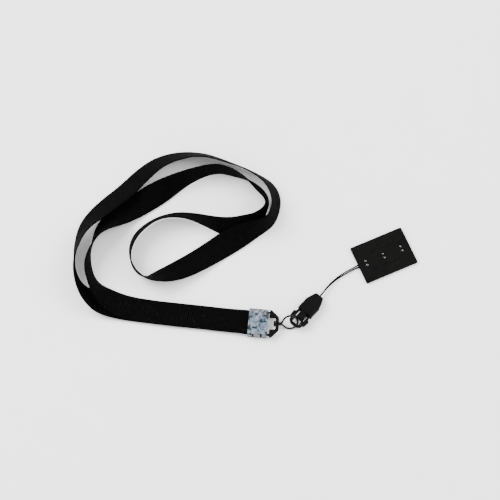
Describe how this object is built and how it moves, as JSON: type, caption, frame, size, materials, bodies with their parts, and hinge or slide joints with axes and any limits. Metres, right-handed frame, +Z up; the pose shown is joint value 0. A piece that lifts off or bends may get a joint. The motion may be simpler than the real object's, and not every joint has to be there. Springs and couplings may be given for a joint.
{
  "type": "neck lanyard",
  "caption": "Loop of black ribbed webbing in a folded metal clamp, with a D-bail, a swivelling wire loop, a small release buckle, a thin doubled tether and a flat rectangular tag",
  "frame": {"origin": "middle of the tag's underside, where the tag rests on the ground or is fastened", "axes": "+Z up; +X along the tag's long side, pointing away from the buckle; +Y across the tag"},
  "size_m": [0.2109, 0.1474, 0.0165],
  "materials": {
    "webbing": "ribbed woven polyester tape, dull",
    "plated_steel": "bright nickel plated sheet steel, slightly dented",
    "black_lacquer": "black electro-lacquered zinc casting, half gloss",
    "black_wire": "black nickel plated wire, glossy",
    "buckle_plastic": "moulded black acetal, fine matt",
    "cord": "fine braided polyester cord",
    "tag_plastic": "moulded black plastic with a fine texture"
  },
  "bodies": {
    "strap": {"neck_strap": "webbing", "strap_fold": "webbing", "clamp_sleeve": "plated_steel"},
    "bail": {"bail": "black_lacquer"},
    "swivel": {"swivel_pin": "black_lacquer", "swivel_loop": "black_wire"},
    "plug": {"plug": "buckle_plastic"},
    "arm_left": {"squeeze_arm_left": "buckle_plastic"},
    "arm_right": {"squeeze_arm_right": "buckle_plastic"},
    "socket": {"socket": "buckle_plastic", "tether": "cord", "tether_knot": "cord", "tag_base": "tag_plastic", "tag_cover": "tag_plastic"}
  },
  "joints": [
    {"name": "bail_hinge", "type": "hinge", "parent": "strap", "child": "bail", "pos_m": [-0.09023, -0.01194, 0.0028], "axis": [-0.4462, -0.8949, 0], "range_deg": [-12, 14]},
    {"name": "swivel_turn", "type": "hinge", "parent": "bail", "child": "swivel", "pos_m": [-0.08374, -0.01517, 0.00369], "axis": [0.8883, -0.4429, 0.1219], "continuous": true},
    {"name": "buckle_swing", "type": "hinge", "parent": "swivel", "child": "plug", "pos_m": [-0.07328, -0.02033, 0.00428], "axis": [0.4274, -0.9041, 0], "range_deg": [-15, 15]},
    {"name": "socket_release", "type": "slide", "parent": "plug", "child": "socket", "axis": [0.9022, 0.4265, -0.0645], "range_m": [0, 0.0125]},
    {"name": "left_squeeze", "type": "hinge", "parent": "plug", "child": "arm_left", "pos_m": [-0.0723, -0.01517, 0.00408], "axis": [-0.0583, -0.0276, -0.9979], "range_deg": [0, 5], "stiffness_Nm_per_rad": 0.05},
    {"name": "right_squeeze", "type": "hinge", "parent": "plug", "child": "arm_right", "pos_m": [-0.06866, -0.02285, 0.00408], "axis": [0.0583, 0.0276, 0.9979], "range_deg": [0, 5], "stiffness_Nm_per_rad": 0.05}
  ]
}
